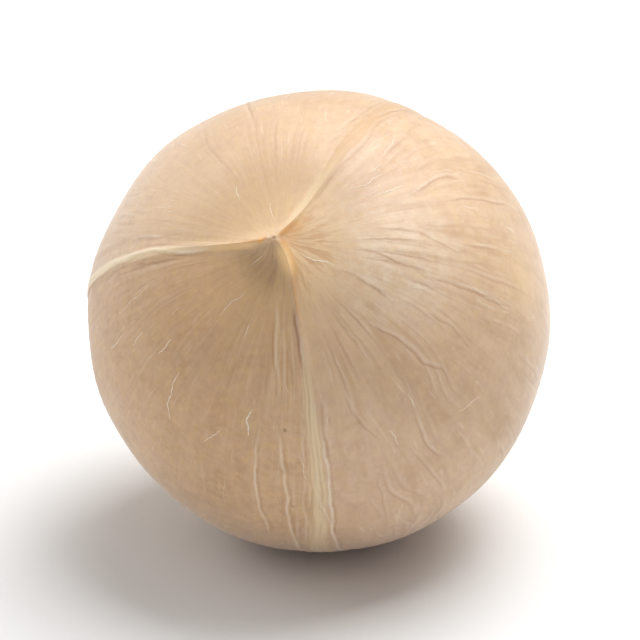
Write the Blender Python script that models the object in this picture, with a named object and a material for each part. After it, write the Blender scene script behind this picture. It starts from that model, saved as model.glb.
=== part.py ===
# A shaved coconut: one whole husked nut, polished round, resting on its side with the tip raised.
# It is one closed solid. Three fibre seams run from the pointed tip over the ball to the stem end,
# sharp and high at the tip and flat and wide over the ball, and the skin between them is hollow
# close to the tip. The stem end holds a scar and three shallow eyes.

import math
import random

import bmesh
import bpy
from mathutils import Matrix

# Sizes of the ball, in metres and degrees. Angles called polar are measured at the ball's centre,
# from the tip at 0 to the stem end at 180.
BALL_RADIUS = 0.0500
TIP_RAISED = 42.0
SHOULDER_POLAR = 21.0
REST_SPOT_DEPTH = 0.0011

# The point of the nut, which is three-cornered because the seams run up it.
POINT_HEIGHT = 0.0031
POINT_RADIUS = 0.0027
POINT_STEEPNESS = 3.0
POINT_CORNER = 0.26
POINT_CORNER_SPREAD = 26.0
PORE_RADIUS = 0.0006
PORE_DEPTH = 0.0005

# The three seams. Azimuth is measured round the nut's axis from its right-hand side, as seen from
# the tip. A seam swirls by twist degrees close to the tip, within the polar angle unwind, and then
# leans by lean degrees for each degree of polar angle. Its flat band opens out from the tip and is
# as broad as wide from the polar angle open onwards.
SEAMS = {
    "upper": {"azimuth": 68.0, "twist": -8.0, "unwind": 8.0, "lean": 0.055, "wide": 0.0052, "open": 50.0},
    "left": {"azimuth": 181.4, "twist": 0.0, "unwind": 8.0, "lean": 0.0, "wide": 0.0040, "open": 45.0},
    "lower": {"azimuth": 294.2, "twist": 42.0, "unwind": 5.5, "lean": -0.177, "wide": 0.0085, "open": 75.0},
}
LEAN_ENDS_POLAR = 95.0

# Relief of a seam: a crest that falls off away from the tip, and a low flat band between two grooves.
# A pair of polar angles is where a part of the relief starts and where it has its full height. The
# band slopes down between two shares of its half width, and each groove lies just outside it.
CREST_HEIGHT = 0.0014
CREST_WIDTH = 0.0018
CREST_REACH_POLAR = 15.0
CREST_GROWS_POLAR = (1.0, 7.0)
BAND_HEIGHT = 0.00020
BAND_OPENS_POLAR = 4.0
BAND_SLOPE = (0.6, 1.2)
BAND_SOFT_EDGE = 0.0004
GROOVE_DEPTH = 0.00022
GROOVE_WIDTH = 0.0011
GROOVE_OUTSIDE = 0.00066
SEAM_GROWS_POLAR = (2.0, 20.0)
SEAM_FADES_POLAR = (128.0, 168.0)

# The skin between two seams: hollow close to the tip, and a little flatter than the ball beyond.
HOLLOW_DEPTH = 0.0011
HOLLOW_DEEPEST_POLAR = 6.0
HOLLOW_POLAR = 13.0
FLAT_DEPTH = 0.00035
FLAT_GROWS_POLAR = (10.0, 60.0)
FLAT_FADES_POLAR = (95.0, 165.0)
ARCH_FULLNESS = 0.8

# The stem end, with its scar and three eyes between the seams.
STEM_END_POLAR = 135.0
EYE_POLAR_FROM_BASE = 20.0
EYE_RADIUS = 0.0050
EYE_DEPTH = 0.0010
EYE_STEEPNESS = 4
SCAR_RADIUS = 0.0026
SCAR_DEPTH = 0.0010
BASE_FLATTENING = 0.0012
BASE_FLAT_REACH = 38.0

# Gentle unevenness left by the growth of the nut and by the blade.
LUMP_COUNT = 14
LUMP_HEIGHT = 0.00010
LUMP_LENGTHS = (0.022, 0.050)
LUMP_GROWS_POLAR = (2.0, 20.0)
LUMP_SEED = 7

SKIN_COLOUR = (0.66, 0.46, 0.29, 1.0)
SKIN_ROUGHNESS = 0.62

# Mesh: meridians crowd towards the seams, and rings towards the tip. Start and middle are the first
# two terms of the cubic that spaces the rings.
MERIDIANS = 96
RINGS = 56
MERIDIAN_CROWDING = 0.62
RING_START = 0.16
RING_MIDDLE = 1.95


def bell(distance, width):
    return math.exp(-((distance / width) ** 2))


def smooth(low, high, value):
    t = min(max((value - low) / (high - low), 0.0), 1.0)
    return t * t * (3.0 - 2.0 * t)


def seam_azimuth(seam, polar):
    """Where a seam lies at this polar angle, both in degrees."""
    leant = seam["lean"] * min(polar, LEAN_ENDS_POLAR)
    return seam["azimuth"] + leant + seam["twist"] * math.exp(-polar / seam["unwind"])


def lump_waves():
    """Plane waves of seeded direction, length and phase, whose sum is the unevenness."""
    draw = random.Random(LUMP_SEED)
    waves = []
    for _ in range(LUMP_COUNT):
        height = draw.uniform(-1.0, 1.0)
        turn = draw.uniform(0.0, math.tau)
        flat = math.sqrt(1.0 - height * height)
        rate = math.tau / draw.uniform(*LUMP_LENGTHS)
        step = (flat * math.cos(turn) * rate, flat * math.sin(turn) * rate, height * rate)
        waves.append((step, draw.uniform(0.0, math.tau)))
    return waves


LUMPS = lump_waves()


def lump_height(x, y, z):
    return sum(
        LUMP_HEIGHT * math.sin(step[0] * x + step[1] * y + step[2] * z + phase)
        for step, phase in LUMPS
    )


def turn_between(azimuth, other):
    """The signed angle from other to azimuth, in degrees, from -180 to 180."""
    return (azimuth - other + 180.0) % 360.0 - 180.0


def profile_radius(polar):
    """The turned profile: a blunt cone from the tip to the shoulder, then the ball, flatter at the base."""
    if polar < SHOULDER_POLAR:
        radius = BALL_RADIUS / math.cos(math.radians(SHOULDER_POLAR - polar))
    else:
        radius = BALL_RADIUS
    return radius - BASE_FLATTENING * bell(180.0 - polar, BASE_FLAT_REACH)


def seam_relief(seam, polar, azimuth):
    """Height of the seam's crest, band and grooves over the skin."""
    away = turn_between(azimuth, seam_azimuth(seam, polar))
    across = BALL_RADIUS * math.sin(math.radians(polar)) * math.radians(abs(away))
    crest = CREST_HEIGHT * math.exp(-polar / CREST_REACH_POLAR) * math.exp(-across / CREST_WIDTH)
    half = seam["wide"] / 2.0 * smooth(BAND_OPENS_POLAR, seam["open"], polar)
    slope_starts, slope_ends = (half * share for share in BAND_SLOPE)
    band = BAND_HEIGHT * (1.0 - smooth(slope_starts, slope_ends + BAND_SOFT_EDGE, across))
    groove = GROOVE_DEPTH * bell(across - slope_ends - GROOVE_OUTSIDE, GROOVE_WIDTH)
    fade = smooth(*SEAM_GROWS_POLAR, polar) * (1.0 - smooth(*SEAM_FADES_POLAR, polar))
    return crest * smooth(*CREST_GROWS_POLAR, polar) + fade * (band - groove)


def sector_relief(polar, azimuth):
    """How far the skin between two seams lies below the turned profile."""
    turns = [turn_between(azimuth, seam_azimuth(seam, polar)) for seam in SEAMS.values()]
    after = min(turn % 360.0 for turn in turns)
    before = min(-turn % 360.0 for turn in turns)
    share = after / (after + before)
    arch = math.sin(math.pi * share) ** ARCH_FULLNESS
    near_tip = HOLLOW_DEPTH * smooth(0.0, HOLLOW_DEEPEST_POLAR, polar)
    near_tip *= bell(polar - HOLLOW_DEEPEST_POLAR, HOLLOW_POLAR)
    over_ball = FLAT_DEPTH * smooth(*FLAT_GROWS_POLAR, polar) * (1.0 - smooth(*FLAT_FADES_POLAR, polar))
    return arch * (near_tip + over_ball)


def point_height(polar, azimuth):
    """The raised point, wider where a seam runs up it, with its pore sunk in the end."""
    out = BALL_RADIUS * math.radians(polar)
    corner = sum(
        bell(turn_between(azimuth, seam_azimuth(seam, polar)), POINT_CORNER_SPREAD)
        for seam in SEAMS.values()
    )
    wide = POINT_RADIUS * (1.0 - POINT_CORNER + 2.0 * POINT_CORNER * corner)
    raised = POINT_HEIGHT / (1.0 + (out / wide) ** POINT_STEEPNESS)
    return raised - PORE_DEPTH * bell(out, PORE_RADIUS)


def base_relief(polar, azimuth):
    """The scar at the stem end and the three eyes about it, one in each sector."""
    from_base = math.radians(180.0 - polar)
    x = math.sin(from_base) * math.cos(math.radians(azimuth))
    y = math.sin(from_base) * math.sin(math.radians(azimuth))
    sunk = SCAR_DEPTH * bell(BALL_RADIUS * from_base, SCAR_RADIUS)
    seams = [seam_azimuth(seam, 180.0) for seam in SEAMS.values()]
    for first, second in zip(seams, seams[1:] + [seams[0] + 360.0]):
        middle = math.radians((first + second) / 2.0)
        reach = math.sin(math.radians(EYE_POLAR_FROM_BASE))
        gap = BALL_RADIUS * math.hypot(x - reach * math.cos(middle), y - reach * math.sin(middle))
        sunk += EYE_DEPTH * math.exp(-((gap / EYE_RADIUS) ** EYE_STEEPNESS))
    return sunk


def surface_radius(polar, azimuth):
    """Distance from the ball's centre to the skin."""
    radius = profile_radius(polar) + point_height(polar, azimuth)
    radius += sum(seam_relief(seam, polar, azimuth) for seam in SEAMS.values())
    radius -= sector_relief(polar, azimuth)
    if polar > STEM_END_POLAR:
        radius -= base_relief(polar, azimuth)
    side = math.sin(math.radians(polar))
    x = BALL_RADIUS * side * math.cos(math.radians(azimuth))
    y = BALL_RADIUS * side * math.sin(math.radians(azimuth))
    z = BALL_RADIUS * math.cos(math.radians(polar))
    return radius + lump_height(x, y, z) * smooth(*LUMP_GROWS_POLAR, polar)


def ring_polar(share):
    """Polar angle of the ring at this share of the way from tip to base, closest set at the tip."""
    return 180.0 * share * (RING_START + share * (RING_MIDDLE + share * (1.0 - RING_START - RING_MIDDLE)))


def meridian_azimuth(share, polar):
    """Azimuth of the meridian at this share of a turn: every third of the turn starts on a seam."""
    seams = [seam_azimuth(seam, polar) for seam in SEAMS.values()]
    seams.append(seams[0] + 360.0)
    place = (share % 1.0) * len(SEAMS)
    sector = min(int(place), len(SEAMS) - 1)
    along = place - sector
    eased = along - MERIDIAN_CROWDING * math.sin(math.tau * along) / math.tau
    return seams[sector] + (seams[sector + 1] - seams[sector]) * eased


def coconut_mesh():
    """A ball of meridians and rings, moved out to the skin and laid on its side."""
    bm = bmesh.new()
    bmesh.ops.create_uvsphere(bm, u_segments=MERIDIANS, v_segments=RINGS, radius=1.0)
    for vert in bm.verts:
        ring = round(math.acos(max(-1.0, min(1.0, vert.co.z))) / math.pi * RINGS)
        turn = math.atan2(vert.co.y, vert.co.x) / math.tau
        polar = ring_polar(ring / RINGS)
        azimuth = meridian_azimuth(turn, polar) if 0 < ring < RINGS else 0.0
        radius = surface_radius(polar, azimuth)
        side = math.sin(math.radians(polar))
        vert.co.x = radius * side * math.cos(math.radians(azimuth))
        vert.co.y = radius * side * math.sin(math.radians(azimuth))
        vert.co.z = radius * math.cos(math.radians(polar))
    lay = Matrix.Rotation(math.radians(90.0 - TIP_RAISED), 4, "X")
    bmesh.ops.transform(bm, matrix=lay, verts=bm.verts)
    lift = BALL_RADIUS - REST_SPOT_DEPTH
    bmesh.ops.translate(bm, vec=(0.0, 0.0, lift), verts=bm.verts)
    press_rest_spot(bm)
    bmesh.ops.triangulate(bm, faces=bm.faces)
    bmesh.ops.recalc_face_normals(bm, faces=bm.faces)
    mesh = bpy.data.meshes.new("shaved_coconut")
    bm.to_mesh(mesh)
    bm.free()
    mesh.shade_smooth()
    return mesh


def press_rest_spot(bm):
    """Presses what would lie below the surface up to it, which leaves a small flat spot."""
    for vert in bm.verts:
        vert.co.z = max(vert.co.z, 0.0)


def skin_material():
    material = bpy.data.materials.new("coconut_skin")
    material.use_nodes = True
    shader = material.node_tree.nodes["Principled BSDF"]
    shader.inputs["Base Color"].default_value = SKIN_COLOUR
    shader.inputs["Roughness"].default_value = SKIN_ROUGHNESS
    shader.inputs["Metallic"].default_value = 0.0
    return material


def main():
    for old in list(bpy.data.objects):
        bpy.data.objects.remove(old, do_unlink=True)
    mesh = coconut_mesh()
    mesh.materials.append(skin_material())
    coconut = bpy.data.objects.new("shaved_coconut", mesh)
    bpy.context.scene.collection.objects.link(coconut)


main()
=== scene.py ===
import math
import random
from types import SimpleNamespace

import bmesh
import bpy
import numpy as np
from mathutils import Matrix, Vector


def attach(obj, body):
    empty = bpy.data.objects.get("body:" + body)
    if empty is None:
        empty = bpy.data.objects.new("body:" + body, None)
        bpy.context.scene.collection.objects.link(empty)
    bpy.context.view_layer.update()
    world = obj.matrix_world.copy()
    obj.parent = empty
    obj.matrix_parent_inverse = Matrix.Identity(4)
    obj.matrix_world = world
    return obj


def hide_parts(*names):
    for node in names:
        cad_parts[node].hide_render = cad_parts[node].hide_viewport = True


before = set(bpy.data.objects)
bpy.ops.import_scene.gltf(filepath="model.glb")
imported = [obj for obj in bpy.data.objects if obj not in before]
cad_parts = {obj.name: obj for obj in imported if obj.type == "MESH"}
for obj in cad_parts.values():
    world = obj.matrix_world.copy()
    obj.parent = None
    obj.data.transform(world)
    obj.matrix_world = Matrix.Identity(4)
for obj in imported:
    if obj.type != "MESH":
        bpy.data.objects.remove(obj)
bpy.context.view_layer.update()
node = "shaved_coconut"
print("stage: frame loaded")

# The nut's form. Angles are degrees at the ball's centre: polar from the tip, azimuth round the axis
# from the right-hand side. Lengths are metres unless a name ends in Mm. A pair of angles is where a
# form begins to come in or go out, and where that is done.
coconut = {
    "ballRadius": 0.0500,
    "ballMm": 50.0,
    "tipRaised": 42.0,
    "shoulder": 21.0,
    "restDepth": 0.0011,
    "baseFlattening": 0.0012,
    "baseFlatReach": 38.0,
    "pointHeight": 0.0031,
    "pointRadius": 0.0027,
    "pointSteepness": 3.0,
    "pointCorner": 0.26,
    "pointCornerReach": 26.0,
    "poreRadius": 0.00035,
    "poreDepth": 0.00035,
    "hollowDepth": 0.0011,
    "hollowReach": 13.0,
    "flatDepth": 0.00035,
    "flatStarts": (10.0, 60.0),
    "flatEnds": (95.0, 165.0),
    "archPower": 0.8,
    "baseStarts": (130.0, 140.0),
    "eyePolar": 160.0,
    "eyeRadius": 0.0050,
    "eyeDepth": 0.0010,
    "scarRadius": 0.0026,
    "scarDepth": 0.0010,
    "lumpCount": 14,
    "lumpHeight": 0.000265,
    "lumpLengthsMm": (22.0, 50.0),
    "lumpSeed": 7,
    "meridians": 423,
    "rings": 226,
    "crowding": 0.35,
    "ringStart": 0.16,
    "ringMiddle": 1.95,
}

# The three seams: where each runs, how it winds at the tip and leans over the ball, and how wide and
# how soon it opens.
seams = {
    "upper": {"azimuth": 68.0, "twist": -8.0, "unwind": 8.0, "lean": 0.055, "wide": 0.0052, "open": 50.0},
    "left": {"azimuth": 181.4, "twist": 0.0, "unwind": 8.0, "lean": 0.0, "wide": 0.0040, "open": 45.0},
    "lower": {"azimuth": 294.2, "twist": 42.0, "unwind": 5.5, "lean": -0.177, "wide": 0.0085, "open": 75.0},
}
seamRelief = {
    "leanEnds": 95.0,
    "crestHeight": 0.0014,
    "crestWidth": 0.0013,
    "crestReach": 15.0,
    "crestStarts": (1.0, 7.0),
    "bandStarts": (2.0, 20.0),
    "bandHeight": 0.00010,
    "grooveDepth": 0.00007,
    "grooveWidth": 0.0010,
    "fades": (128.0, 168.0),
    "paintReachMm": 25.0,
}


def bell(distance, width):
    return np.exp(-((distance / width) ** 2))


def ease(low, high, value):
    t = np.clip((value - low) / (high - low), 0.0, 1.0)
    return t * t * (3.0 - 2.0 * t)


def sine(degrees):
    return np.sin(np.radians(degrees))


def cosine(degrees):
    return np.cos(np.radians(degrees))


def turnFrom(other, azimuth):
    return (azimuth - other + 180.0) % 360.0 - 180.0


def ballPlace(polar, azimuth):  # on a plain ball, in mm
    x = sine(polar) * cosine(azimuth)
    y = sine(polar) * sine(azimuth)
    return coconut["ballMm"] * np.stack([x, y, cosine(polar)], axis=1)


def waves(points, count, lengths, seed):
    # a smooth random field over the points, mostly between -2 and 2
    draw = random.Random(seed)
    total = np.zeros(len(points))
    for _ in range(count):
        height = draw.uniform(-1.0, 1.0)
        turn = draw.uniform(0.0, math.tau)
        flat = math.sqrt(1.0 - height * height)
        rate = math.tau / draw.uniform(*lengths)
        step = np.array([flat * math.cos(turn), flat * math.sin(turn), height]) * rate
        total += np.sin(points @ step + draw.uniform(0.0, math.tau))
    return total * math.sqrt(2.0 / count)


def seamAzimuth(seam, polar):
    leant = seam["lean"] * np.minimum(polar, seamRelief["leanEnds"])
    return seam["azimuth"] + leant + seam["twist"] * np.exp(-polar / seam["unwind"])


def acrossSeam(seam, polar, azimuth):  # signed distance over the skin from the seam's middle
    away = turnFrom(seamAzimuth(seam, polar), azimuth)
    return coconut["ballRadius"] * sine(polar) * np.radians(away)


def sectorPlace(polar, azimuth):  # which sector a point is in, and its share of the way over it
    first, second, third = [seamAzimuth(seam, polar) for seam in seams.values()]
    turned = (azimuth - first) % 360.0
    toSecond = second - first
    toThird = third - first
    sector = np.where(turned < toSecond, 0, np.where(turned < toThird, 1, 2))
    start = np.choose(sector, [0.0 * turned, toSecond, toThird])
    end = np.choose(sector, [toSecond, toThird, 360.0 + 0.0 * turned])
    return sector, (turned - start) / (end - start)


def grainAngle(polar, azimuth):  # azimuth that the fibre through a point has far from the tip
    sector, share = sectorPlace(polar, azimuth)
    ends = [seam["azimuth"] for seam in seams.values()]
    ends.append(ends[0] + 360.0)
    start = np.choose(sector, ends[:3])
    end = np.choose(sector, ends[1:])
    return start + (end - start) * share


def profileRadius(polar):
    inside = np.maximum(coconut["shoulder"] - polar, 0.0)
    radius = coconut["ballRadius"] / cosine(inside)
    return radius - coconut["baseFlattening"] * bell(180.0 - polar, coconut["baseFlatReach"])


def pointRelief(polar, azimuth):  # the three-cornered point with its pore
    out = coconut["ballRadius"] * np.radians(polar)
    reach = coconut["pointCornerReach"]
    corner = sum(bell(turnFrom(seamAzimuth(seam, polar), azimuth), reach) for seam in seams.values())
    wide = coconut["pointRadius"] * (1.0 - coconut["pointCorner"] + 2.0 * coconut["pointCorner"] * corner)
    raised = coconut["pointHeight"] / (1.0 + (out / wide) ** coconut["pointSteepness"])
    return raised - coconut["poreDepth"] * bell(out, coconut["poreRadius"])


def seamHeight(seam, polar, azimuth):
    across = np.abs(acrossSeam(seam, polar, azimuth))
    crest = seamRelief["crestHeight"] * np.exp(-polar / seamRelief["crestReach"])
    crest = crest * np.exp(-across / seamRelief["crestWidth"]) * ease(*seamRelief["crestStarts"], polar)
    half = seam["wide"] / 2.0 * ease(4.0, seam["open"], polar)
    shown = ease(*seamRelief["bandStarts"], polar) * (1.0 - ease(*seamRelief["fades"], polar))
    band = seamRelief["bandHeight"] * (1.0 - ease(half * 0.6, half * 1.2 + 0.0004, across))
    edge = half * 1.2 + seamRelief["grooveWidth"] * 0.6
    groove = seamRelief["grooveDepth"] * bell(across - edge, seamRelief["grooveWidth"])
    return crest + shown * (band - groove)


def sectorRelief(polar, azimuth):
    _, share = sectorPlace(polar, azimuth)
    arch = np.maximum(np.sin(math.pi * share), 0.0) ** coconut["archPower"]
    nearTip = coconut["hollowDepth"] * ease(0.0, 6.0, polar) * bell(polar - 6.0, coconut["hollowReach"])
    overBall = coconut["flatDepth"] * ease(*coconut["flatStarts"], polar)
    overBall = overBall * (1.0 - ease(*coconut["flatEnds"], polar))
    return arch * (nearTip + overBall)


def baseRelief(polar, azimuth):  # the scar and the three eyes
    fromBase = np.radians(180.0 - polar)
    x = np.sin(fromBase) * cosine(azimuth)
    y = np.sin(fromBase) * sine(azimuth)
    sunk = coconut["scarDepth"] * bell(coconut["ballRadius"] * fromBase, coconut["scarRadius"])
    ends = [float(seamAzimuth(seam, 180.0)) for seam in seams.values()]
    ends.append(ends[0] + 360.0)
    reach = math.sin(math.radians(180.0 - coconut["eyePolar"]))
    for first, second in zip(ends, ends[1:]):
        middle = math.radians((first + second) / 2.0)
        gap = coconut["ballRadius"] * np.hypot(x - reach * math.cos(middle), y - reach * math.sin(middle))
        sunk = sunk + coconut["eyeDepth"] * np.exp(-((gap / coconut["eyeRadius"]) ** 4))
    return sunk * ease(*coconut["baseStarts"], polar)


# Marks are lines on the skin: creases, raised cords of fibre, and one open slit. Each has a strength
# and the places it runs through, as polar and azimuth. The meander that all share is a sum of waves:
# size in mm, how many, their lengths in mm, and a seed.
marks = {
    "crease": [
        (0.8, (14.3, 348.7), (21, 346.6), (26, 344.9), (32, 342)),
        (0.9, (21, 22.5), (30, 20), (35, 17), (40, 14), (44, 12), (52, 13)),
        (1.0, (17.6, 7.9), (24, 6), (28, 2.4), (35, 1.4), (40, 359)),
        (0.9, (30, 2.4), (36, 359.4), (45, 359.7), (55, 0.7), (64, 1)),
        (1.0, (26.6, 326), (32, 329), (35.5, 331.6), (45, 331), (50, 333), (56, 332.5)),
        (0.9, (37, 300.6), (44, 301), (50, 302.6), (56, 305)),
        (0.6, (60, 311), (80, 312.5), (92, 312)),
        (0.5, (64, 300), (76, 297.7), (84, 297)),
        (0.6, (38, 345.7), (47.5, 346.3), (57, 342)),
        (0.9, (13.6, 178.5), (19.5, 180.6), (30, 179.2), (42, 178.5)),
        (1.0, (23.4, 188), (30, 187), (36, 186.7), (50, 186.5)),
        (0.42, (12, 64), (20, 65), (24.7, 66.5), (30.5, 65.8), (39, 66.8), (47, 68.7), (66, 68.5)),
        (0.4, (26, 77), (32.7, 77.3), (38.6, 76.1), (48.4, 75.9), (70, 76)),
        (0.7, (36, 292), (45, 290.4), (56, 288.6)),
        (0.7, (15, 273.5), (23, 273), (32, 274), (42, 274.4)),
        (0.5, (20, 283), (28, 282.4), (36, 281.6)),
    ],
    "cord": [
        (
            1.3, (13, 183.6), (22, 184.4), (29, 183.2), (34, 181),
            (40, 181.2), (46, 182), (66, 183), (100, 182),
        ),
        (0.9, (43, 290.6), (53, 287.9), (60, 287.3), (67, 286.1), (78, 284), (92, 282.6), (112, 282)),
        (0.9, (42, 274), (49, 275), (58.6, 274), (66, 274.8), (78, 273), (89, 273.4), (104, 272)),
        (0.8, (43, 269), (51, 266.7), (60, 266.2), (66.5, 265.9), (77, 267.2), (90, 267)),
        (0.5, (10.7, 275.3), (17, 276.4), (23, 275), (31, 276), (40, 276)),
        (0.4, (38, 284), (54.6, 281), (69.5, 278.3), (96, 275)),
        (0.6, (32, 173.8), (37.5, 174.4), (44, 174.4), (47, 176.7)),
    ],
    "slit": [(1.7, (14, 292.4), (18.7, 289.2), (25.5, 287.9), (31, 287.7))],
    "drawn": {"crease": 70, "cord": 40},
    "lengthMm": (9.0, 30.0),
    "zoneMm": 2.4,
    "meander": ((0.17, 16, (9.0, 18.0), 41), (0.09, 20, (4.0, 7.0), 42)),
    "meanderStarts": (10.0, 30.0),
    "groups": 4,
    "seed": 23,
}
# Relief of one mark of strength 1: height in mm (below 0 is sunk), half width in mm, and its tone in
# the paint (0 dark, 1 pale).
markKinds = {
    "crease": {"height": -0.012, "width": 0.55, "tone": 0.0},
    "cord": {"height": 0.065, "width": 0.42, "tone": 1.0},
    "slit": {"height": -0.12, "width": 0.50, "tone": 0.0},
}


def listMarks():
    draw = random.Random(marks["seed"])
    listed = []
    for kind in markKinds:
        for strength, *path in marks[kind]:
            listed.append((kind, strength, path))
    for kind, count in marks["drawn"].items():
        for _ in range(count):
            start = math.degrees(math.acos(draw.uniform(-0.92, 0.90)))
            azimuth = draw.uniform(0.0, 360.0)
            front = start < 85.0 and abs(turnFrom(270.0, azimuth)) < 110.0
            length = math.degrees(draw.uniform(*marks["lengthMm"]) / coconut["ballMm"])
            strength = draw.uniform(0.3, 0.9) * (0.5 if front else 1.0)
            lean = draw.uniform(-3.0, 3.0)
            end = min(start + length, 166.0)
            listed.append((kind, strength, [(start, azimuth), (end, azimuth + lean)]))
    return listed


markList = listMarks()


def markRelief(polar, azimuth, meander):
    # the height of all marks, and the paint layers: per group the distance across, strength and tone
    height = np.zeros(len(polar))
    layers = [np.zeros((len(polar), 3)) for _ in range(marks["groups"])]
    taken = [np.zeros(len(polar), bool) for _ in range(marks["groups"])]
    zone = marks["zoneMm"]
    left = 0
    for kind, strength, path in markList:
        ends = np.array(path, float)
        ends[:, 1] = ends[0, 1] + turnFrom(ends[0, 1], ends[:, 1])
        start, end = ends[0, 0], ends[-1, 0]
        near = np.nonzero((polar > start) & (polar < end))[0]
        middle = np.interp(polar[near], ends[:, 0], ends[:, 1])
        across = coconut["ballMm"] * sine(polar[near]) * np.radians(turnFrom(middle, azimuth[near]))
        across = across - meander[near]
        fadeIn = min(12.0, 0.25 * (end - start))
        fadeOut = min(14.0, 0.35 * (end - start))
        shown = strength * ease(start, start + fadeIn, polar[near])
        shown = shown * (1.0 - ease(end - fadeOut, end, polar[near]))
        shape = markKinds[kind]
        relief = shape["height"] * max(strength, 1.0) * bell(across, shape["width"])
        if kind == "crease":
            relief -= 0.3 * shape["height"] * bell(across - 1.2, 0.9)
        height[near] += shown * relief
        inside = np.abs(across) < zone
        spot = near[inside]
        group = next((k for k in range(marks["groups"]) if not taken[k][spot].any()), None)
        if group is None:
            left += 1
            continue
        taken[group][spot] = True
        fade = shown[inside] * (1.0 - ease(zone * 0.6, zone, np.abs(across[inside])))
        tone = np.full(len(spot), shape["tone"])
        layers[group][spot] = np.stack([across[inside], fade, tone], axis=1)
    return height / 1000.0, layers, left


# Folds are the fine wavy wrinkles that run side by side, uneven in strength; most are in the widest
# sector.
folds = {
    "count": 130,
    "depthMm": 0.012,
    "widthMm": 0.55,
    "sway": 0.60,
    "swayMm": (26.0, 60.0),
    "ripple": 0.09,
    "rippleMm": (9.0, 15.0),
    "patchMm": (16.0, 40.0),
    "breakMm": (5.0, 14.0),
    "strength": 1.5,
    "otherSectors": 0.30,
    "starts": (14.0, 30.0),
    "softens": (50.0, 75.0),
    "ends": (140.0, 165.0),
    "seed": 8,
}


def foldShift(points):
    broad = folds["sway"] * waves(points, 22, folds["swayMm"], 31)
    return broad + folds["ripple"] * waves(points, 20, folds["rippleMm"], 32)


def foldShown(points, flow, polar, azimuth, place):
    draw = random.Random(folds["seed"])
    strengths = np.array([draw.random() ** 1.6 for _ in range(folds["count"])])
    single = strengths[np.floor(place).astype(int) % folds["count"]]
    sector, share = sectorPlace(polar, azimuth)
    patchy = ease(-1.0, 0.8, waves(points, 18, folds["patchMm"], 33))
    broken = ease(-0.5, 0.5, waves(flow * [1.0, 1.0, 0.35], 30, folds["breakMm"], 34))
    clear = np.minimum(share, 1.0 - share)
    others = folds["otherSectors"]
    inSector = others + (1.0 - others) * np.where(sector == 2, 1.0, 0.0) * ease(0.0, 0.12, clear)
    ends = ease(*folds["starts"], polar) * (1.0 - 0.5 * ease(*folds["softens"], polar))
    ends = ends * (1.0 - ease(*folds["ends"], polar)) * ease(0.03, 0.10, clear)
    return np.minimum(folds["strength"] * single * patchy * broken * inSector * ends, 1.0)


def foldHeight(polar, place, shown):
    spacing = math.tau * coconut["ballMm"] * sine(polar) / folds["count"]
    across = (place % 1.0 - 0.5) * spacing
    shape = -bell(across, folds["widthMm"]) + 0.5 * bell(across - 0.9, 0.7)
    return folds["depthMm"] * shown * shape / 1000.0


# Strands are the fine fibres that run from the tip all over the skin.
strands = {
    "count": 26,
    "turns": (60, 200),
    "heightMm": (0.004, 0.014),
    "shortestMm": (1.3, 2.4),
    "seed": 5,
}


def strandRelief(polar, grain):
    draw = random.Random(strands["seed"])
    total = np.zeros(len(polar))
    for _ in range(strands["count"]):
        turns = draw.randint(*strands["turns"])
        high = draw.uniform(*strands["heightMm"])
        sway = draw.uniform(0.6, 2.2)
        pace = draw.uniform(2.0, 7.0)
        phase = draw.uniform(0.0, math.tau)
        swell = draw.uniform(1.0, 4.0)
        across = np.radians(grain) * turns + sway * np.sin(np.radians(polar) * pace + phase)
        wavelength = math.tau * coconut["ballMm"] * sine(polar) / turns
        envelope = 0.6 + 0.4 * np.sin(np.radians(polar) * swell + phase * 3.0)
        total += high * envelope * ease(*strands["shortestMm"], wavelength) * np.sin(across + phase)
    return total / 1000.0


def skinRelief(polar, azimuth):
    # distance of the skin from the ball's centre, and the layers that the paint reads
    points = ballPlace(polar, azimuth)
    grain = grainAngle(polar, azimuth)
    radius = profileRadius(polar) + pointRelief(polar, azimuth)
    lumps = waves(points, coconut["lumpCount"], coconut["lumpLengthsMm"], coconut["lumpSeed"])
    radius = radius + coconut["lumpHeight"] * lumps * ease(2.0, 20.0, polar)
    radius = radius - sectorRelief(polar, azimuth) - baseRelief(polar, azimuth)
    for seam in seams.values():
        radius = radius + seamHeight(seam, polar, azimuth)
    meander = sum(size * waves(points, *rest) for size, *rest in marks["meander"])
    meander = meander * ease(*marks["meanderStarts"], polar)
    markHeight, layers, left = markRelief(polar, azimuth, meander)
    flow = coconut["ballMm"] * np.stack([cosine(grain), sine(grain), np.radians(polar)], axis=1)
    shift = foldShift(points)
    place = np.radians(grain) * folds["count"] / math.tau + shift
    shown = foldShown(points, flow, polar, azimuth, place)
    radius = radius + markHeight + foldHeight(polar, place, shown) + strandRelief(polar, grain)
    paint = {"grain": flow, "polar": polar, "fold": np.stack([shift, shown, 0.0 * shown], axis=1)}
    for name, seam in seams.items():
        across = acrossSeam(seam, polar, azimuth) * 1000.0
        reach = seamRelief["paintReachMm"]
        paint[name + "Across"] = np.clip(across, -reach, reach)
    for k, layer in enumerate(layers):
        paint["mark" + str(k)] = layer
    return radius, paint, left


def laidDown(polar, azimuth, radius):  # from the upright nut to the nut lying on its rest spot
    upright = ballPlace(polar, azimuth) / coconut["ballMm"] * radius[:, None]
    turn = np.array(Matrix.Rotation(math.radians(90.0 - coconut["tipRaised"]), 3, "X"))
    placed = upright @ turn.T
    placed[:, 2] += coconut["ballRadius"] - coconut["restDepth"]
    return placed


def ringPolar(share):
    start, middle = coconut["ringStart"], coconut["ringMiddle"]
    return 180.0 * share * (start + share * (middle + share * (1.0 - start - middle)))


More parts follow.
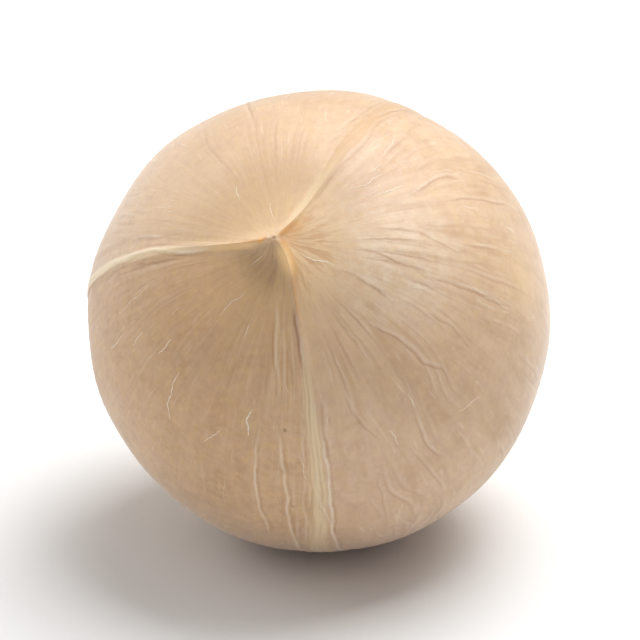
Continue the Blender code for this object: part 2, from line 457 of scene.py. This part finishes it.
def meridianAzimuth(share, polar):
    ends = [seamAzimuth(seam, polar) for seam in seams.values()]
    ends.append(ends[0] + 360.0)
    place = (share % 1.0) * 3.0
    sector = np.minimum(place.astype(int), 2)
    along = place - sector
    eased = along - coconut["crowding"] * np.sin(math.tau * along) / math.tau
    start = np.choose(sector, ends[:3])
    end = np.choose(sector, ends[1:])
    return start + (end - start) * eased


def addAttribute(mesh, name, values):
    vector = values.ndim == 2
    kind = "FLOAT_VECTOR" if vector else "FLOAT"
    attribute = mesh.attributes.new(name, kind, "POINT")
    attribute.data.foreach_set("vector" if vector else "value", values.astype(np.float32).ravel())


def makeSkin():
    bm = bmesh.new()
    bmesh.ops.create_uvsphere(
        bm, u_segments=coconut["meridians"], v_segments=coconut["rings"], radius=1.0
    )
    mesh = bpy.data.meshes.new("coconutSkin")
    bm.to_mesh(mesh)
    bm.free()
    count = len(mesh.vertices)
    ball = np.empty(count * 3)
    mesh.vertices.foreach_get("co", ball)
    ball = ball.reshape(-1, 3)
    ring = np.rint(np.arccos(np.clip(ball[:, 2], -1.0, 1.0)) / math.pi * coconut["rings"])
    share = np.round(np.arctan2(ball[:, 1], ball[:, 0]) / math.tau * coconut["meridians"])
    share = share / coconut["meridians"]
    polar = ringPolar(ring / coconut["rings"])
    azimuth = meridianAzimuth(share, polar)
    radius, paint, left = skinRelief(polar, azimuth)
    points = laidDown(polar, azimuth, radius)
    points[:, 2] = np.maximum(points[:, 2], 0.0)
    mesh.vertices.foreach_set("co", points.ravel())
    mesh.update()
    for name, values in paint.items():
        addAttribute(mesh, name, values)
    mesh.shade_smooth()
    skin = bpy.data.objects.new("coconutSkin", mesh)
    bpy.context.scene.collection.objects.link(skin)
    print("stage: skin,", len(mesh.polygons), "faces;", left, "marks without paint")
    return skin


# Loose fibres left by the blade: thin pale threads, half sunk in the skin. Those seen on the front
# run through the places given as polar and azimuth.
fibres = {
    "placed": [
        (0.16, (5.9, 344), (10.6, 350), (14.3, 348.7)),
        (0.17, (39.2, 232.4), (49.4, 234.3), (54.4, 236.7)),
        (0.24, (39.5, 265), (43.2, 263.2), (48, 264)),
        (0.13, (47.8, 254.3), (54.6, 249.2)),
        (0.10, (36.7, 196.4), (44, 197.9), (51, 199.2)),
        (0.12, (49.8, 206.1), (58.8, 206)),
        (0.08, (12.6, 239), (18.4, 234), (22, 232.6)),
        (0.16, (35, 222), (41.4, 221.9)),
        (0.08, (19.4, 255), (23.4, 255.7)),
        (0.08, (4.4, 220), (8.4, 220.5)),
        (0.08, (13.1, 112), (6.7, 109.4)),
        (0.13, (42, 210.3), (48, 211.8)),
        (0.14, (52.9, 309), (59, 309.1)),
        (0.12, (47.5, 320), (52, 319)),
        (0.12, (66.2, 335), (63.2, 327.6)),
        (0.12, (21.7, 53.3), (27.8, 48.9), (33.3, 50.7)),
        (0.14, (26.5, 40.9), (30.5, 41.3), (36.5, 40.8)),
        (0.10, (27, 46), (31, 45.4)),
        (0.10, (30, 53), (35, 54)),
        (0.10, (24, 45), (28, 43)),
        (0.16, (33.9, 162.5), (35.2, 163.4)),
    ],
    "drawn": 70,
    "lengthMm": (2.5, 11.0),
    "radiusMm": (0.04, 0.09),
    "spacingMm": 0.45,
    "seed": 61,
}


def fibrePath(draw, path):  # evenly spaced places with a small meander
    ends = np.array(path, float)
    ends[:, 1] = ends[0, 1] + turnFrom(ends[0, 1], ends[:, 1])
    steps = np.diff(ends, axis=0)
    widths = coconut["ballMm"] * np.radians(np.hypot(steps[:, 0], steps[:, 1] * sine(ends[1:, 0])))
    along = np.concatenate([[0.0], np.cumsum(widths)])
    count = max(6, int(along[-1] / fibres["spacingMm"]))
    run = np.linspace(0.0, along[-1], count)
    polar = np.interp(run, along, ends[:, 0])
    azimuth = np.interp(run, along, ends[:, 1])
    sway = 0.0
    for length, high in ((draw.uniform(4.0, 8.0), 0.19), (draw.uniform(1.4, 2.6), 0.08)):
        sway = sway + high * np.sin(run / length * math.tau + draw.uniform(0.0, math.tau))
    sway = sway * np.minimum(1.0, along[-1] / 6.0)
    heading = math.atan2(float(steps[0, 1] * sine(ends[0, 0])), float(steps[0, 0]))
    polar = polar - np.degrees(sway * math.sin(heading) / coconut["ballMm"])
    azimuth = azimuth + np.degrees(sway * math.cos(heading) / (coconut["ballMm"] * sine(polar)))
    return polar, azimuth


def makeFibres():
    draw = random.Random(fibres["seed"])
    chosen = [(thick, list(path)) for thick, *path in fibres["placed"]]
    for _ in range(fibres["drawn"]):
        polar = math.degrees(math.acos(draw.uniform(-0.9, 0.96)))
        azimuth = draw.uniform(0.0, 360.0)
        length = math.degrees(draw.uniform(*fibres["lengthMm"]) / coconut["ballMm"])
        lean = draw.uniform(-0.35, 0.35) * length / math.sin(math.radians(polar))
        path = [(polar, azimuth), (polar + length, azimuth + lean)]
        chosen.append((draw.uniform(*fibres["radiusMm"]), path))
    curve = bpy.data.curves.new("looseFibres", "CURVE")
    curve.dimensions = "3D"
    curve.bevel_depth = 1.0
    curve.bevel_resolution = 1
    curve.use_fill_caps = True
    paths = [fibrePath(draw, path) for _, path in chosen]
    polars, azimuths = [np.concatenate(values) for values in zip(*paths)]
    radius, _, _ = skinRelief(polars, azimuths)
    first = 0
    for (thickMm, _), (polar, azimuth) in zip(chosen, paths):
        thick = thickMm / 1000.0
        places = laidDown(polar, azimuth, radius[first:first + len(polar)] - thick * 0.3)
        first += len(polar)
        if places[:, 2].min() < 2.0 * thick:
            continue
        spline = curve.splines.new("POLY")
        spline.points.add(len(places) - 1)
        for point, place, share in zip(spline.points, places, np.linspace(0.02, 0.98, len(places))):
            point.co = (*place, 1.0)
            swell = 0.8 + 0.2 * math.sin(37.0 * share + 900.0 * thick)
            point.radius = thick * swell * (0.12 + 0.88 * math.sin(math.pi * share) ** 0.6)
    threads = bpy.data.objects.new("looseFibres", curve)
    bpy.context.scene.collection.objects.link(threads)
    print("stage: loose fibres,", len(curve.splines))
    return threads


# Shader maths reads as Python: a Wire is one output socket, and an expression adds its Math nodes.
class Wire:
    def __init__(self, socket):
        self.socket = socket
        self.tree = socket.id_data

    def __add__(self, other):
        return maths("ADD", self, other)

    def __radd__(self, other):
        return maths("ADD", other, self)

    def __sub__(self, other):
        return maths("SUBTRACT", self, other)

    def __rsub__(self, other):
        return maths("SUBTRACT", other, self)

    def __mul__(self, other):
        return maths("MULTIPLY", self, other)

    def __rmul__(self, other):
        return maths("MULTIPLY", other, self)

    def __truediv__(self, other):
        return maths("DIVIDE", self, other)

    def __neg__(self):
        return maths("MULTIPLY", self, -1.0)

    def __abs__(self):
        return maths("ABSOLUTE", self)

    def between(self, low, high):  # 0 below low, 1 above high, smooth between
        settings = {"interpolation_type": "SMOOTHSTEP"}
        return addNode(self.tree, "ShaderNodeMapRange", settings, {0: self, 1: low, 2: high})

    def peak(self, width):  # 1 where the wire is 0, falling to 0 at width on both sides
        return 1.0 - abs(self).between(0.0, width)


def addNode(tree, kind, settings, inputs, output=0):
    made = tree.nodes.new(kind)
    for name, value in settings.items():
        setattr(made, name, value)
    for name, value in inputs.items():
        socket = made.inputs[name]
        if isinstance(value, Wire):
            tree.links.new(value.socket, socket)
        elif socket.type == "RGBA":
            socket.default_value = (*value, 1.0)
        else:
            socket.default_value = value
    return Wire(made.outputs[output])


def maths(operation, *values):
    tree = next(value for value in values if isinstance(value, Wire)).tree
    return addNode(tree, "ShaderNodeMath", {"operation": operation}, dict(enumerate(values)))


def attribute(tree, name, output=2):
    return addNode(tree, "ShaderNodeAttribute", {"attribute_name": name}, {}, output)


def parts(vector):
    return [addNode(vector.tree, "ShaderNodeSeparateXYZ", {}, {0: vector}, k) for k in range(3)]


def mixColour(factor, first, second, blend="MIX"):
    settings = {"data_type": "RGBA", "clamp_factor": True, "blend_type": blend}
    return addNode(factor.tree, "ShaderNodeMix", settings, {0: factor, 6: first, 7: second}, 2)


def vectorMaths(operation, first, second, output=0):
    settings = {"operation": operation}
    return addNode(first.tree, "ShaderNodeVectorMath", settings, {0: first, 1: second}, output)


def noise(vector, scale=1.0, detail=2.0, roughness=0.5, output=0):
    inputs = {"Vector": vector, "Scale": scale, "Detail": detail, "Roughness": roughness}
    return addNode(vector.tree, "ShaderNodeTexNoise", {}, inputs, output)


def shaken(vector, place, scale, amount):  # the vector moved about by noise over the skin
    wobble = vectorMaths("SUBTRACT", noise(place, scale, 1.0, 0.5, 1), (0.5, 0.5, 0.5))
    return vectorMaths("ADD", vector, vectorMaths("MULTIPLY", wobble, (amount, amount, amount)))


def newMaterial(name):
    material = bpy.data.materials.new(name)
    material.use_nodes = True
    return material, material.node_tree, material.node_tree.nodes["Principled BSDF"]


colours = {
    "skin": (0.605, 0.405, 0.240),
    "peach": (0.715, 0.510, 0.330),
    "tan": (0.490, 0.296, 0.156),
    "pink": (0.655, 0.450, 0.325),
    "honey": (0.600, 0.378, 0.197),
    "cream": (0.780, 0.620, 0.390),
    "pale": (0.860, 0.740, 0.590),
    "brown": (0.360, 0.195, 0.100),
    "rose": (0.610, 0.405, 0.275),
    "gold": (0.690, 0.475, 0.245),
    "ember": (0.510, 0.270, 0.110),
    "glow": (0.880, 0.580, 0.270),
    "orange": (0.540, 0.265, 0.080),
    "poreGreyAndShade": (0.250, 0.155, 0.085),
    "umber": (0.190, 0.110, 0.060),
    "thread": (0.850, 0.745, 0.600),
    "warmth": (0.970, 0.915, 0.835),
    "undersideShade": (0.810, 0.655, 0.545),
    "butter": (0.905, 0.725, 0.480),
    "amber": (0.760, 0.390, 0.085),
    "apricot": (0.700, 0.400, 0.170),
}

# Patches are broad changes of tone, and spots are small stains, but the entries noted as painted highlight
# or painted shade stand for light. Each gives polar, azimuth, reach in mm, colour and strength.
patches = [
    (30.0, 225.0, 42.0, "honey", 0.75),
    # Painted highlight: a paler patch to the right of the point.
    (27.0, 6.0, 24.0, "pale", 0.62),
    (30.0, 47.0, 16.0, "pink", 0.60),
    (66.0, 300.0, 34.0, "pink", 0.45),
    (69.0, 9.0, 10.0, "gold", 0.90),
    (19.0, 322.0, 5.0, "brown", 0.22),
    (52.0, 322.0, 12.0, "brown", 0.18),
    # An orange stain low on the ball, spread and strengthened as painted shade toward the underside.
    (80.0, 279.5, 14.0, "orange", 0.24),
    # Painted shade: a broad brown darkening of the underside.
    (112.0, 285.0, 36.0, "brown", 0.55),
]
spots = [
    (38.5, 52.3, 1.3, "orange", 0.30),
    (43.0, 62.0, 1.3, "orange", 0.22),
    (25.7, 68.0, 0.7, "brown", 0.75),
    (11.4, 86.6, 0.6, "pale", 0.95),
    (44.8, 276.8, 0.7, "umber", 0.60),
    (54.4, 279.4, 0.7, "brown", 0.60),
    (69.5, 275.6, 0.8, "brown", 0.60),
    (3.1, 178.0, 1.6, "amber", 0.95),
    # Painted highlight: a pale glint just left of the pore, on the lit side of the point.
    (1.4, 160.0, 0.6, "pale", 0.50),
    (69.0, 9.0, 9.0, "gold", 0.35),
    (90.0, 281.0, 8.0, "orange", 0.22),
]


def stained(colour, place, grit, toneMarks):  # the colour with the listed patches and spots on it: stains and tone, and some painted highlight and shade
    for polar, azimuth, reach, name, strength in toneMarks:
        polar, azimuth = np.array([polar]), np.array([azimuth])
        middle = laidDown(polar, azimuth, profileRadius(polar) + pointRelief(polar, azimuth))[0]
        away = vectorMaths("DISTANCE", place, tuple(middle), 1) * 1000.0 + (grit - 0.5) * reach * 0.8
        colour = mixColour((1.0 - away.between(reach * 0.15, reach)) * strength, colour, colours[name])
    return colour


# How many streaks to a mm across the grain and along it, for each layer that follows the fibres.
grainScales = {
    "coarse": (0.28, 0.022),
    "medium": (0.52, 0.050),
    "fine": (1.50, 0.120),
    "rays": (0.40, 0.085),
    "soft": (0.26, 0.060),
    "fleck": (1.10, 0.160),
    "tip": (0.17, 0.200),
    "wander": (0.02, 0.100),
    "lines": (1.20, 0.030),
    "slats": (0.60, 0.025),
    "wrinkle": (0.80, 0.250),
}


def streaks(grain, layer, detail=2.0, roughness=0.6):
    across, along = grainScales[layer]
    return noise(vectorMaths("MULTIPLY", grain, (across, across, along)), 1.0, detail, roughness)


def skinPlaces(tree):  # where a point of the skin is, and the noises that several layers share
    at = SimpleNamespace(polar=attribute(tree, "polar"))
    at.upper, at.left, at.lower = [attribute(tree, name + "Across") for name in seams]
    at.place = addNode(tree, "ShaderNodeTexCoord", {}, {}, 3)
    at.flow = attribute(tree, "grain", 1)
    at.grain = shaken(shaken(at.flow, at.place, 70.0, 2.2), at.place, 420.0, 0.35)
    at.belowLeft = at.left.between(-1.0, 3.0) * (-at.lower).between(-1.0, 3.0)  # the lower-left sector: the brownest skin, where painted shade is added too
    at.onTop = (1.0 - at.left.between(-6.0, -1.0)) * at.upper.between(1.0, 6.0)
    at.onRight = at.lower.between(0.0, 6.0) * (-at.upper).between(0.0, 6.0)
    at.blotch = noise(at.place, ground["blotchScale"], 3.0, 0.6)
    at.small = noise(at.place, ground["smallScale"], 3.0, 0.6)
    at.mottle = noise(at.place, ground["mottleScale"], 4.0, 0.65)
    at.medium = streaks(at.grain, "medium", 3.0)
    at.fine = streaks(at.grain, "fine")
    at.tipRays = streaks(at.grain, "tip")
    at.jitter = (noise(at.place, 480.0, 2.0) - 0.5) * 0.7 + (noise(at.place, 1600.0, 1.0) - 0.5) * 0.35
    return at


# The ground is broad patches of warmer and pinker skin and a finer mottle: the scale of each noise,
# and how strong its tones are. The calm sectors have less of it.
ground = {
    "peachScale": 26.0,
    "pinkScale": 60.0,
    "blotchScale": 110.0,
    "smallScale": 240.0,
    "tintScale": 430.0,
    "mottleScale": 640.0,
    "pink": 0.35,
    "blotchTan": 0.55,
    "blotchRose": 0.50,
    "smallTan": 0.38,
    "smallPeach": 0.36,
    "tint": 0.50,
    "mottleTan": 0.26,
    "mottlePeach": 0.30,
    "calmTop": 0.45,
    "calmRight": 0.32,
}


def groundColour(at):
    calm = 1.0 - at.onTop * ground["calmTop"] - at.onRight * ground["calmRight"]
    worn = (at.polar.between(25.0, 55.0) * 0.65 + 0.35) * calm
    peach = noise(at.place, ground["peachScale"], 3.0).between(0.35, 0.65)
    colour = mixColour(peach, colours["skin"], colours["peach"])
    pink = noise(at.place, ground["pinkScale"], 3.0, 0.6).between(0.5, 0.75)
    colour = mixColour(pink * ground["pink"], colour, colours["pink"])
    colour = stained(colour, at.place, at.blotch, patches)
    tan = at.blotch.between(0.48, 0.66) * worn
    colour = mixColour(tan * ground["blotchTan"], colour, colours["tan"])
    rose = (1.0 - at.blotch).between(0.50, 0.66) * calm
    colour = mixColour(rose * ground["blotchRose"], colour, colours["rose"])
    tan = at.small.between(0.50, 0.66) * worn
    colour = mixColour(tan * ground["smallTan"], colour, colours["tan"])
    peach = (1.0 - at.small).between(0.50, 0.64) * worn
    colour = mixColour(peach * ground["smallPeach"], colour, colours["peach"])
    tintX, tintY, _ = parts(noise(at.place, ground["tintScale"], 3.0, 0.6, 1))
    colour = mixColour(tintX.between(0.45, 0.62) * calm * ground["tint"], colour, colours["gold"])
    colour = mixColour(tintY.between(0.45, 0.62) * calm * ground["tint"], colour, colours["rose"])
    tan = at.mottle.between(0.42, 0.74) * calm
    colour = mixColour(tan * ground["mottleTan"], colour, colours["tan"])
    peach = (1.0 - at.mottle).between(0.45, 0.72) * calm
    return mixColour(peach * ground["mottlePeach"], colour, colours["peach"])


def withStreaks(at, colour):  # streaks of fibre, from coarse near the tip to fine over the ball
    nearTip = 1.0 - at.polar.between(20.0, 60.0)
    coarse = streaks(at.grain, "coarse")
    streak = (coarse - 0.5) * (0.25 + nearTip * 0.6) + (at.medium - 0.5) * 0.50 + (at.fine - 0.5) * 0.3
    colour = mixColour(streak.between(0.02, 0.34) * 0.55, colour, colours["peach"])
    dark = (-streak).between(0.02, 0.34) * (0.18 + at.belowLeft * 0.45)
    colour = mixColour(dark, colour, colours["tan"])
    rays = streaks(at.grain, "rays", 1.0).between(0.52, 0.74) * at.polar.between(8.0, 22.0)
    rays = rays * (1.0 - at.polar.between(38.0, 68.0)) * (0.15 + at.belowLeft * 0.35)
    colour = mixColour(rays, colour, colours["peach"])
    soft = streaks(shaken(at.grain, at.place, 45.0, 3.0), "soft")
    soft = (soft - 0.5) * at.onRight * at.polar.between(14.0, 30.0)
    colour = mixColour(soft.between(0.0, 0.18) * 0.32, colour, colours["tan"])
    colour = mixColour((-soft).between(0.0, 0.18) * 0.32, colour, colours["peach"])
    fleck = streaks(shaken(at.grain, at.place, 150.0, 1.2), "fleck", 1.0)
    fleck = fleck.between(0.62, 0.82) * at.polar.between(4.0, 18.0)
    colour = mixColour(fleck * 0.30, colour, colours["pale"])

    # golden skin about the tip, with short rays in it
    golden = (1.0 - at.polar.between(6.0, 30.0)) * (0.30 + (1.0 - at.tipRays).between(0.40, 0.60) * 0.30)
    colour = mixColour(golden, colour, colours["gold"])
    toRight = at.lower.between(0.2, 1.5) * (-at.upper).between(0.2, 1.2)
    embers = at.tipRays.between(0.44, 0.64) * (1.0 - at.polar.between(7.0, 20.0))
    embers = embers * (toRight * 0.50 + 0.12) * at.polar.between(1.5, 3.5)
    return mixColour(embers, colour, colours["ember"])


def withFolds(at, colour):  # a brown line in each fold and a pale lip beside it
    grainX, grainY, _ = parts(at.flow)
    shift, shown, _ = parts(attribute(at.flow.tree, "fold", 1))
    turned = maths("ARCTAN2", grainY, grainX) * (folds["count"] / math.tau) + shift
    widest = math.tau * coconut["ballMm"] / folds["count"]
    spacing = maths("SINE", at.polar * (math.pi / 180.0)) * widest
    across = (maths("FLOORED_MODULO", turned, 1.0) - 0.5) * spacing + at.jitter
    at.foldLine = across.peak(0.48) * shown
    at.foldLip = (across - 0.75).peak(0.70) * shown
    colour = mixColour(across.peak(1.5) * shown * 0.40, colour, colours["rose"])
    colour = mixColour(at.foldLine * 0.38, colour, colours["brown"])
    return mixColour(at.foldLip * 0.30, colour, colours["pale"])


# Each seam's painted band: its middle and half width in mm, the polar angle that it starts at, and
# its colour.
seamPaint = {
    "upper": {"middle": 0.6, "half": 2.2, "start": 12.0, "colour": "honey"},
    "left": {"middle": 0.3, "half": 1.2, "start": 32.0, "colour": "butter"},
    "lower": {"middle": 0.2, "half": 2.3, "start": 30.0, "colour": "cream"},
}


def withSeams(at, colour):  # finer lines side by side in a paler band, and under the left seam a painted shadow with wrinkles
    wander = (streaks(at.grain, "wander") - 0.5) * 1.6
    lines = streaks(at.grain, "lines", 1.0)
    bands = 0.0
    for name, across in (("upper", at.upper), ("left", at.left), ("lower", at.lower)):
        paint = seamPaint[name]
        opened = at.polar.between(6.0, seams[name]["open"]) * 0.75 + 0.25
        offset = (across + wander) / opened - paint["middle"]
        band = offset.peak(paint["half"] * 1.3).between(0.05, 0.55)
        band = band * at.polar.between(paint["start"] - 8.0, paint["start"] + 8.0)
        band = band * (1.0 - at.polar.between(115.0, 160.0))
        strength = band * (0.45 + lines.between(0.40, 0.60) * 0.30)
        colour = mixColour(strength, colour, colours[paint["colour"]])
        bands = maths("MAXIMUM", band, bands)
    at.bandLines = bands * lines
    colour = mixColour(bands * (1.0 - lines).between(0.50, 0.66) * 0.30, colour, colours["tan"])
    strip = (at.lower + 4.0).peak(8.0) * at.polar.between(12.0, 30.0)
    slats = streaks(at.grain, "slats")
    colour = mixColour(strip * slats.between(0.53, 0.66) * 0.30, colour, colours["pale"])
    colour = mixColour(strip * (1.0 - slats).between(0.53, 0.66) * 0.28, colour, colours["brown"])
    # Under the left seam's raised cord: fine wrinkles, and a brown band over them that is painted shadow;
    # the bump sinks it a little.
    reach = at.polar.between(12.0, 34.0) * (1.0 - at.polar.between(48.0, 70.0))
    wrinkled = streaks(at.grain, "wrinkle", 2.0, 0.5).between(0.46, 0.66)
    at.wrinkle = (at.left - 2.6).peak(2.8) * reach * wrinkled
    return mixColour(at.wrinkle * 0.42, colour, colours["brown"])


def withMarks(at, colour):  # dark creases, and pale cords with a painted shadow along one side
    broken = noise(at.place, 150.0, 2.0).between(0.30, 0.56)
    at.markBump = 0.0
    for k in range(marks["groups"]):
        offset, strength, tone = parts(attribute(at.flow.tree, "mark" + str(k), 1))
        offset = offset + at.jitter * 0.6
        strength = strength * (0.45 + broken * 0.55)
        line = offset.peak(0.44) * strength
        lip = (offset - 0.75).peak(0.60) * strength * (1.0 - tone)
        # Painted shadow: a brown line along one side of each pale cord, where the bump also dips a little.
        side = (offset - 0.75).peak(0.45) * strength * tone
        colour = mixColour(offset.peak(1.6) * strength * (1.0 - tone) * 0.30, colour, colours["rose"])
        colour = mixColour(lip * 0.22, colour, colours["pale"])
        colour = mixColour(side * 0.35, colour, colours["brown"])
        colour = mixColour(line * (1.0 - tone) * 0.48, colour, colours["brown"])
        thread = offset.peak(0.52) * strength * tone * (0.45 + at.mottle * 0.6)
        colour = mixColour(thread, colour, colours["pale"])
        at.markBump = at.markBump + line * (tone * 2.0 - 1.0) + lip * 0.3 - side * 0.3
    return colour


def withTip(at, colour):  # painted shade in the hollows beside the seams, partly over an orange-brown stain, and orange-brown crests that turn golden
    polar, upper, left, lower = at.polar, at.upper, at.left, at.lower
    # Painted shade: the hollow between the left and lower seams, below and left of the point, darkened in
    # streaks.
    shade = left.between(0.3, 1.4) * (-lower).between(0.2, 1.4) * (1.0 - polar.between(3.0, 13.0))
    colour = mixColour(shade * (at.tipRays.between(0.25, 0.70) * 0.28 + 0.26), colour, colours["poreGreyAndShade"])
    # The hollow under the upper seam's crest: partly the point's own orange-brown stain, partly painted
    # shade.
    under = (-upper).between(0.2, 0.9) * (1.0 - (-upper).between(1.4, 3.6))
    under = under * polar.between(1.2, 2.5) * (1.0 - polar.between(5.0, 12.0))
    colour = mixColour(under * (at.tipRays.between(0.30, 0.60) * 0.40 + 0.30), colour, colours["apricot"])
    below = (left - 0.6).peak(1.1) * polar.between(3.0, 7.0) * (1.0 - polar.between(14.0, 24.0))
    colour = mixColour(below * 0.8, colour, colours["glow"])
    edge = (left + 0.2).peak(0.6) * (1.0 - polar.between(8.0, 24.0)) * 0.8
    crest = maths("MAXIMUM", edge, maths("MAXIMUM", (lower - 0.9).peak(1.0), (upper + 0.4).peak(0.8)))
    atTip = (1.0 - polar.between(5.0, 12.0)) * polar.between(0.8, 2.0)
    colour = mixColour(crest * atTip * (0.55 + at.mottle), colour, colours["orange"])
    ridge = (lower + 0.2).peak(2.4) * polar.between(1.0, 3.5) * (1.0 - polar.between(5.0, 10.0))
    colour = mixColour(ridge * 0.95, colour, colours["glow"])
    tail = polar.between(6.0, 10.0) * (1.0 - polar.between(14.0, 28.0))
    colour = mixColour(lower.peak(2.6) * tail * 0.35, colour, colours["tan"])
    colour = mixColour((lower - 0.2).peak(0.5) * tail * 0.45, colour, colours["orange"])
    nearCrest = (upper - 0.7).peak(1.7) * polar.between(3.0, 8.0) * (1.0 - polar.between(16.0, 34.0))
    colour = mixColour(nearCrest * 0.60, colour, colours["cream"])
    cord = (left - 0.2).peak(1.6) * polar.between(7.0, 30.0) * (1.0 - polar.between(60.0, 90.0))
    return mixColour(cord * 0.60, colour, colours["butter"])


def withStains(at, colour):  # small stains and a painted highlight, a warmer lower left that is partly painted shade, painted shade on the underside, and the pore
    colour = stained(colour, at.place, at.mottle, spots)
    # A warmer, darker lower left: partly the sector's own browner skin, partly painted shade.
    warmerShadedLowerLeft = at.belowLeft * (1.0 - at.polar.between(70.0, 110.0))
    colour = mixColour(warmerShadedLowerLeft, colour, colours["warmth"], "MULTIPLY")
    # Painted shade: the lower part of the ball, toward the floor, made darker and browner.
    undersideShade = at.polar.between(88.0, 112.0) * at.lower.peak(26.0).between(0.0, 0.5)
    colour = mixColour(undersideShade, colour, colours["undersideShade"], "MULTIPLY")
    # The pore at the point: its own grey, deepened as painted shade in its small hollow.
    return mixColour((1.0 - at.polar.between(0.2, 0.6)) * 0.35, colour, colours["poreGreyAndShade"])


# The finish: the bump's depth in metres, the share of each layer in it, and the gloss.
finish = {
    "bumpDepth": 0.00016,
    "fine": 0.16,
    "medium": 0.22,
    "bandLines": 0.40,
    "mottle": 0.22,
    "small": 0.25,
    "micro": 0.08,
    "microScale": 1900.0,
    "marks": 0.12,
    "foldLine": 0.10,
    "foldLip": 0.05,
    "wrinkle": 0.15,
    "roughness": 0.52,
    "shader": {
        "Subsurface Weight": 0.08,
        "Subsurface Radius": (1.0, 0.5, 0.25),
        "Subsurface Scale": 0.0025,
        "Sheen Weight": 0.38,
        "Sheen Roughness": 0.40,
        "Sheen Tint": (1.0, 0.98, 0.97, 1.0),
    },
}


def skinMaterial():
    material, tree, shader = newMaterial("coconutSkinFinish")
    at = skinPlaces(tree)
    colour = groundColour(at)
    for layer in (withStreaks, withFolds, withSeams, withMarks, withTip, withStains):
        colour = layer(at, colour)
    tree.links.new(colour.socket, shader.inputs["Base Color"])

    micro = noise(at.place, finish["microScale"], 3.0)
    height = at.fine * finish["fine"] + at.medium * finish["medium"] + at.bandLines * finish["bandLines"]
    height = height + at.mottle * finish["mottle"] + at.small * finish["small"] + micro * finish["micro"]
    height = height + at.markBump * finish["marks"] - at.foldLine * finish["foldLine"]
    height = height + at.foldLip * finish["foldLip"] - at.wrinkle * finish["wrinkle"]
    inputs = {"Strength": 1.0, "Distance": finish["bumpDepth"], "Height": height}
    bump = addNode(tree, "ShaderNodeBump", {}, inputs)
    tree.links.new(bump.socket, shader.inputs["Normal"])
    rough = (at.medium - 0.5) * 0.20 + at.foldLine * 0.1 + finish["roughness"]
    tree.links.new(rough.socket, shader.inputs["Roughness"])
    for name, value in finish["shader"].items():
        shader.inputs[name].default_value = value
    print("stage: skin finish,", len(tree.nodes), "nodes")
    return material


def threadMaterial():
    material, tree, shader = newMaterial("paleThread")
    place = addNode(tree, "ShaderNodeTexCoord", {}, {}, 3)
    along = noise(place, 300.0)
    colour = mixColour(along.between(0.40, 0.70), colours["thread"], colours["pale"])
    tree.links.new(colour.socket, shader.inputs["Base Color"])
    tree.links.new((0.45 + along * 0.2).socket, shader.inputs["Roughness"])
    return material


# The studio: a pale floor, a pale sky and soft lamps, one of them nearly overhead.
studio = {
    "floorSize": 6.0,
    "floor": (0.80, 0.80, 0.80),
    "sky": (1.0, 1.0, 1.0),
    "skyStrength": 0.46,
    "lamps": [
        {"name": "topSoftbox", "place": (0.24, 0.34, 1.04), "size": 0.8, "power": 14.2},
        {"name": "leftFill", "place": (-1.1, 0.3, 0.5), "size": 0.8, "power": 4.0},
    ],
    "azimuth": 13.2,
    "elevation": 25.1,
    "distance": 1.2,
    "frameWidth": 0.138,
    "aim": (0.0, 0.0, 0.0489),
}


def makeStudio():
    scene = bpy.context.scene
    bm = bmesh.new()
    bmesh.ops.create_grid(bm, x_segments=2, y_segments=2, size=studio["floorSize"] / 2.0)
    mesh = bpy.data.meshes.new("floor")
    bm.to_mesh(mesh)
    bm.free()
    floor = bpy.data.objects.new("floor", mesh)
    scene.collection.objects.link(floor)
    material, _, shader = newMaterial("paleFloor")
    shader.inputs["Base Color"].default_value = (*studio["floor"], 1.0)
    shader.inputs["Roughness"].default_value = 0.8
    mesh.materials.append(material)

    world = bpy.data.worlds.new("paleSky")
    scene.world = world
    world.use_nodes = True
    sky = world.node_tree.nodes["Background"]
    sky.inputs["Color"].default_value = (*studio["sky"], 1.0)
    sky.inputs["Strength"].default_value = studio["skyStrength"]

    aim = Vector(studio["aim"])
    for lamp in studio["lamps"]:
        light = bpy.data.lights.new(lamp["name"], "AREA")
        light.size = lamp["size"]
        light.energy = lamp["power"]
        holder = bpy.data.objects.new(lamp["name"], light)
        holder.location = lamp["place"]
        holder.rotation_euler = (aim - Vector(lamp["place"])).to_track_quat("-Z", "Y").to_euler()
        scene.collection.objects.link(holder)

    turn = math.radians(studio["azimuth"])
    raised = math.radians(studio["elevation"])
    back = Vector((math.sin(turn) * math.cos(raised), -math.cos(turn) * math.cos(raised), math.sin(raised)))
    lens = bpy.data.cameras.new("camera")
    lens.sensor_width = 36.0
    lens.lens = 36.0 * studio["distance"] / studio["frameWidth"]
    camera = bpy.data.objects.new("camera", lens)
    camera.location = aim + back * studio["distance"]
    camera.rotation_euler = back.to_track_quat("Z", "Y").to_euler()
    scene.collection.objects.link(camera)
    scene.camera = camera
    scene.view_settings.view_transform = "Standard"
    print("stage: studio")


makeStudio()
skin = makeSkin()
skin.data.materials.append(skinMaterial())
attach(skin, "root")
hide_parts(node)

threads = makeFibres()
threads.data.materials.append(threadMaterial())
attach(threads, "root")
